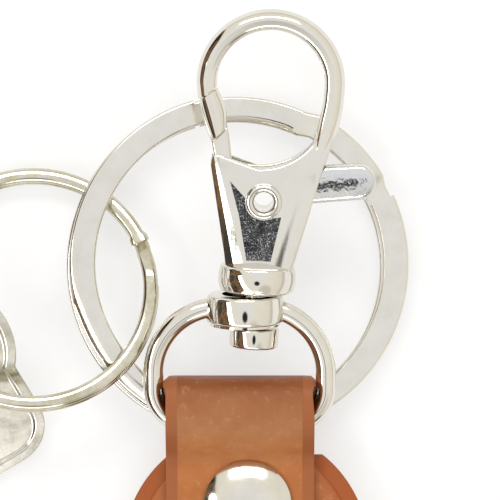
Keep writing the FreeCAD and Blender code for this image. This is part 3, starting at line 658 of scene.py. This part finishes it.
def clasp():
    """The body and the hook, cut for the trigger and the eyelet, then the parts turned on it."""
    body, band = clasp_body(), hook()
    for side in (1, -1):
        carve(body, plate(*PANEL, FLOOR, 4), CLASP @ Matrix.Diagonal((1, 1, side, 1)))
    for part in (body, band):
        carve(part, slot_cutter(), CLASP)
    carve(body, bore(1.47, 4, 64), EYELET)
    refinish(body, hammered_nickel_painted_dark, CLASP, lambda centre, normal: abs(
        abs(centre.z) - FLOOR) < 0.01 and abs(normal.dot(CLASP.col[2].xyz)) > 0.9999)
    collar = lathe((0, 0), [(3.75, 0), (0.585, 1.42, 48.4), (0, 2.84), (0, 0)])
    soften(collar, 0.4, 5, 50)
    piece("clasp_collar", collar, CLASP, "clasp", polished_nickel)
    knob = lathe((0, -5.85), [(2.56, -5.85), (2.56, -3.75), (1.1, -3.75), (1.1, 1), (0, 1),
                              (0, -5.85)])
    soften(knob, 0.3, 4, 60)
    piece("swivel_knob", knob, CLASP, "clasp", polished_nickel, ["swivel_pin"])
    tube, flange = 1.45, 1.9                     # outer radii of the eyelet and its rolled rims
    rim = lathe((tube, -2.1), [
        (tube, 2.1), (flange, 2.1), (flange, 2.3), (1.475, 2.411, 209.2), (1.05, -2.3),
        (1.475, -2.411, 209.2), (flange, -2.1), (tube, -2.1)], steps=64)
    piece("eyelet", rim, EYELET, "clasp", polished_nickel, ["trigger_pin"])


def trigger():
    """Lever, hub and stem in one plate."""
    end = (9.94, 12.01)                          # centre of the lever's round end
    lever = plate((-3.86, 17.2), [
        (-3.6, 16.2), (-3.15, 13.444), (SADDLE[0], SADDLE[1], 51.8), (4.4, 13.75), (6.2, 13.5),
        (10.2, 13.85), (*end, -159.4), (5.29, 9.55), (3.6, 8.3), (1.3, 8.3), (1.2, 7.2),
        (-1.0, 7.2), (-2.6, 8.4), (-4.95, 13.2), (-5.45, 15.6), (-3.86, 17.2)], -1.1, 1.1)
    soften(lever, 0.42, 5, 60, only=lambda e: steepness(e) < 0.1)
    across = turn("Z", 97.5) @ Vector((1, 0, 0))
    crest = across.dot((*end, 0))
    score(lever, across, crest - 1.5, crest + 1.5, 0.3)
    score(lever, (1, 0, 0), 5.0, 11.5, 0.5)
    score(lever, (0, 1, 0), 13.6, 17.1, 0.5)
    for v in lever.verts:
        off = across.dot(v.co) - crest
        if v.co.x > THUMB:                       # the thumb's pad is a little crowned
            v.co.z *= 1.07 - min(off * off, 4) / 14.6 - 0.12 * ease(v.co.x, 9.6, 12.0)
        elif v.co.x < -2:                        # the stem thins towards the gate
            v.co.z *= 1 - 0.09 * max(0, v.co.y - 13.1)
    thing = piece("thumb_lever", lever, CLASP, "trigger", hammered_nickel_painted_dark, ["trigger"])
    carve(thing, bore(1.5, 3, 48), EYELET)
    refinish(thing, polished_nickel, CLASP, lambda centre, normal: centre.x < THUMB)


def gate():
    """Thick rounded end of the stem, with a small tongue that stands into the hook's cut."""
    cut, half, high, depth = (-5.98, 20.41), 0.9, 0.95, 0.15
    seat = shift(*cut) @ turn("Z", CUT_SLANT)
    widen = Matrix.Diagonal((CUT_HALF / half, 1, BAND_HIGH / high, 1))
    bm, tip = bar_end(half, high, 0.8, seat @ shift(0, -depth), ridge=0.08)
    tip = push(bm, tip, seat @ shift(0, depth) @ seat.inverted())
    tip = push(bm, tip, seat @ widen @ seat.inverted())
    draw(bm, tip, [(*cut, CUT_HALF, BAND_HIGH, CUT_SLANT), (-5.24, 18.45, 1.28, BAND_HIGH, 205),
                   (-4.67, 16.3, 1.1, BAND_HIGH, 223)])
    bmesh.ops.recalc_face_normals(bm, faces=bm.faces)
    soften(bm, 0.04, 2, 60)
    piece("gate", bm, CLASP, "trigger", polished_nickel)


# ---------------------------------------------------------------- rings
COIL_GAP = 0.05


def coils(inner, outer, height, corner, runs, slip):
    """Strip swung through its runs of (level, first, last), with a ramp between each two.

    The lower turns lie a little off the upper ones, by slip.
    """
    level = (height + COIL_GAP) / 2
    side, first, _ = runs[0]
    start = turn("Z", first) @ shift((inner + outer) / 2, 0, side * level)
    bm, tip = bar_end((outer - inner) / 2, height / 2, corner, start)
    flats = [e for e in bm.edges if e.calc_length() > corner]
    bmesh.ops.subdivide_edges(bm, edges=flats, cuts=5)
    tip = next(iter(bm.faces))
    for n, (side, begin, end) in enumerate(runs):
        centre = slip if side < 0 else (0, 0)
        tip = swing(bm, tip, centre, end - begin, step=2.5)
        if n + 1 < len(runs):
            next_side, next_begin, _ = runs[n + 1]
            rise = (next_side - side) * level
            tip = swing(bm, tip, centre, next_begin - end, rise, step=4.0)
            if next_side != side:
                bmesh.ops.translate(bm, verts=tip.verts,
                                    vec=(-next_side * slip[0], -next_side * slip[1], 0))
    bmesh.ops.recalc_face_normals(bm, faces=bm.faces)
    return bm


def bearing(v):
    """Direction of a vertex from the ring's centre, 0 to 360 degrees."""
    return math.degrees(math.atan2(v.co.y, v.co.x)) % 360


def large_ring():
    """Flat strip whose edges are rolled off by the press and by wear, on two stretches."""
    height, slip = 0.7, (-0.26, -0.24)
    bm = coils(15.1, 17.84, height, 0.34, [(1, 24, -254.4), (-1, -255.3, -294.7),
                                           (1, -298.7, -325), (-1, -332, -613.5)], slip)
    for v in bm.verts:
        off, at, drop = math.hypot(v.co.x, v.co.y), bearing(v), 0.0
        if v.co.z > 0:                           # the upper coil's outer edge, at the lower left
            drop = 0.26 * max(0, off - 16.1) ** 2 * ease(at, 165, 205) * ease(-at, -262, -236)
        elif 64 < at < 105:                      # the lower coil's inner edge, in the hook's eye
            off = math.hypot(v.co.x - slip[0], v.co.y - slip[1])
            drop = 0.5 * max(0, 15.75 - off) * ease(at, 65, 70) * ease(-at, -104, -99)
        under = COIL_GAP / 2 if v.co.z > 0 else -COIL_GAP / 2 - height
        v.co.z = under + (v.co.z - under) * (1 - min(0.85, drop / height))
    piece("large_split_ring", bm, LARGE_RING, "flat_ring", rolled_nickel,
          ["flat_ring"], crisp=34)


def small_ring():
    """Wire crowned above and below, with its free end nipped wider."""
    inner, outer, height = 11.55, 13.1, 0.95
    bm = coils(inner, outer, height, 0.46, [(1, 24, 368), (-1, 382, 722)], slip=(0.1, 0.05))
    radius, half = (inner + outer) / 2, (outer - inner) / 2
    for v in bm.verts:
        off = math.hypot(v.co.x, v.co.y)
        level = math.copysign((height + COIL_GAP) / 2, v.co.z)
        v.co.z = level + (v.co.z - level) * (1 - 0.3 * ((off - radius) / half) ** 2)
        if v.co.z > 0 and 23 < bearing(v) < 27:
            v.co.xy *= 1 + 0.28 * (off - radius) / off
    piece("small_split_ring", bm, SMALL_RING, "split_ring", wire_nickel,
          ["split_ring"])


# ---------------------------------------------------------------- tag
def tag():
    """Stamped plate: a pierced round head and a body, whose faces are sunk inside a rim."""
    def blank(side, end, neck, head, low, high):
        return plate((neck, side), [(0, 0, head), (10.4, -side), (10.4, -2.1, 90), (end, 2.1),
                                    (10.4, 2.1, 90), (neck, side)], low, high)

    thing = piece("tag_plate", blank(6.5, 14.8, 5.0, 255.2, -0.7, 0.7), TAG, "tag",
                  stamped_nickel, ["tag"])
    for facing in (0, 180):
        sunk = blank(5.3, 13.6, 4.57, 261.6, 0.4, 1.4)
        bmesh.ops.scale(sunk, vec=(1.04, 1.08, 1), verts=[v for v in sunk.verts if v.co.z > 1])
        carve(thing, sunk, TAG @ turn("X", facing))
    carve(thing, bore(3.9, 3, 72), TAG @ UPRIGHT)
    live_bevel(thing, 0.14, 35)
    thing.modifiers.new("flats", "WEIGHTED_NORMAL").keep_sharp = True


# ---------------------------------------------------------------- studio
def table():
    """The sheet that the keychain lies on, 6 m across so that no view sees its end."""
    bm = bmesh.new()
    bmesh.ops.create_grid(bm, x_segments=1, y_segments=1, size=3)
    mesh = bpy.data.meshes.new("table_top")
    bm.to_mesh(mesh)
    bm.free()
    floor = bpy.data.objects.new("table_top", mesh)
    bpy.context.scene.collection.objects.link(floor)
    # opal acrylic sheet of a light table, sanded matt: it glows evenly, so shadows stay pale
    opal, tree, where = new_material("opal_acrylic_sheet")
    cloud = add(tree, "ShaderNodeTexNoise", {"Vector": where, "Scale": every(4), "Detail": 3.0})
    milk = add(tree, "ShaderNodeValToRGB", {"Fac": cloud.outputs["Fac"]},
               stops=[(0.3, colour("#989897")), (0.7, colour("#9C9C9C"))])
    sheet = add(tree, "ShaderNodeBsdfPrincipled", {
        "Base Color": milk.outputs["Color"], "Roughness": 0.9, "Specular IOR Level": 0.1,
        "Emission Color": (1, 1, 1, 1), "Emission Strength": 0.62})
    add(tree, "ShaderNodeOutputMaterial", {"Surface": sheet.outputs["BSDF"]})
    mesh.materials.append(opal)


def camera():
    """Long lens straight above, which takes in 52 mm at the clasp's height of 8 mm."""
    seen, height = 0.052, 0.008
    lens = bpy.data.cameras.new("camera")
    lens.lens, lens.sensor_width = 400, 36
    lens.clip_start, lens.clip_end = 0.01, 50
    eye = bpy.data.objects.new("camera", lens)
    eye.location = (0.26 * MM, 26.67 * MM, height + seen * lens.lens / lens.sensor_width)
    bpy.context.scene.collection.objects.link(eye)
    bpy.context.scene.camera = eye


def lamps():
    """Soft boxes half a metre from the keychain, each turned to it; sizes are in metres."""
    middle_y, reach = 0.02, 0.5
    for name, azimuth, elevation, wide, tall, glow in [
            ("window", 90, 47, 0.42, 0.115, 7.0), ("left_strip", 206, 44, 0.54, 0.10, 4.5),
            ("front_strip", -95, 40, 0.34, 0.07, 4.0)]:
        lamp = bpy.data.lights.new(name, "AREA")
        lamp.shape, lamp.size, lamp.size_y = "RECTANGLE", wide, tall
        lamp.energy = glow * math.pi * wide * tall
        light = bpy.data.objects.new(name, lamp)
        place = turn("Z", azimuth) @ turn("Y", -elevation) @ shift(reach, 0) @ turn("Y", 90)
        light.matrix_world = shift(0, middle_y) @ place @ turn("Z", 90)
        light.visible_camera = False
        bpy.context.scene.collection.objects.link(light)


def room():
    """What the metal mirrors: a pale warm room, with a few dark things in it."""
    world = bpy.data.worlds.new("studio")
    world.use_nodes = True
    bpy.context.scene.world = world
    tree = world.node_tree
    tree.nodes.clear()
    way = add(tree, "ShaderNodeTexCoord").outputs["Generated"]
    height = add(tree, "ShaderNodeSeparateXYZ", {"Vector": way}).outputs["Z"]
    up = add(tree, "ShaderNodeMapRange", {"Value": height, 1: -1.0, 2: 1.0})
    walls = add(tree, "ShaderNodeValToRGB", {"Fac": up.outputs["Result"]}, stops=[
        (0.45, colour("#F4F1EA")), (0.53, colour("#DCD6CA")), (0.62, colour("#F8F3E8")),
        (0.9, colour("#FEFBF2")), (1.0, colour("#FCFDFF"))]).outputs["Color"]
    shelves = add(tree, "ShaderNodeTexNoise", {"Vector": way, "Scale": 2.6, "Detail": 3.0,
                                              "Roughness": 0.6})
    clutter = add(tree, "ShaderNodeValToRGB", {"Fac": shelves.outputs["Fac"]}, stops=[
        (0.38, colour("#24211E")), (0.46, colour("#4A4844")), (0.51, colour("#6A5845")),
        (0.56, colour("#9C7650")), (0.62, colour("#4B4C48"))]).outputs["Color"]
    # round spots, by direction, radius and soft edge in degrees: the camera over the clasp, two
    # for the shelves along the left wall, and in front a dull patch and the ceiling over it
    for direction, wide, soft, tone in [
            ((0.0, -0.296, 0.955), 7.5, 4.0, colour("#2A2B2E")),
            ((-0.993, 0.087, 0.07), 40, 4.0, clutter), ((-0.90, -0.42, 0.07), 33, 4.0, clutter),
            ((0.45, -0.80, 0.25), 10, 6.0, colour("#6B6560")),
            ((0.37, -0.64, 0.68), 16, 12.0, colour("#DEDAD2"))]:
        facing = add(tree, "ShaderNodeVectorMath", {0: way, 1: Vector(direction).normalized()},
                     operation="DOT_PRODUCT")
        spot = add(tree, "ShaderNodeMapRange", {
            "Value": facing.outputs["Value"], 1: math.cos(math.radians(wide + soft / 2)),
            2: math.cos(math.radians(wide - soft / 2))}, interpolation_type="SMOOTHSTEP")
        walls = add(tree, "ShaderNodeMix", {0: spot.outputs["Result"], 6: walls, 7: tone},
                    data_type="RGBA").outputs[2]
    glow = add(tree, "ShaderNodeBackground", {"Color": walls, "Strength": 1.0})
    # seen directly behind the table, the room is plain pale grey without these spots
    plain = add(tree, "ShaderNodeBackground", {"Color": colour("#F4F4F3"), "Strength": 1.0})
    seen = add(tree, "ShaderNodeLightPath").outputs["Is Camera Ray"]
    both = add(tree, "ShaderNodeMixShader", {0: seen, 1: glow.outputs[0], 2: plain.outputs[0]})
    add(tree, "ShaderNodeOutputWorld", {"Surface": both.outputs[0]})


strap()
fob()
rivet()
d_loop()
clasp()
trigger()
gate()
large_ring()
small_ring()
tag()
for node, finish in (("rivet_socket", polished_nickel), ("rivet_post", polished_nickel),
                     ("trigger_spring", spring_steel)):
    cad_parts[node].material_slots[0].material = finish
bpy.context.scene.view_settings.view_transform = "Standard"
table()
camera()
lamps()
room()
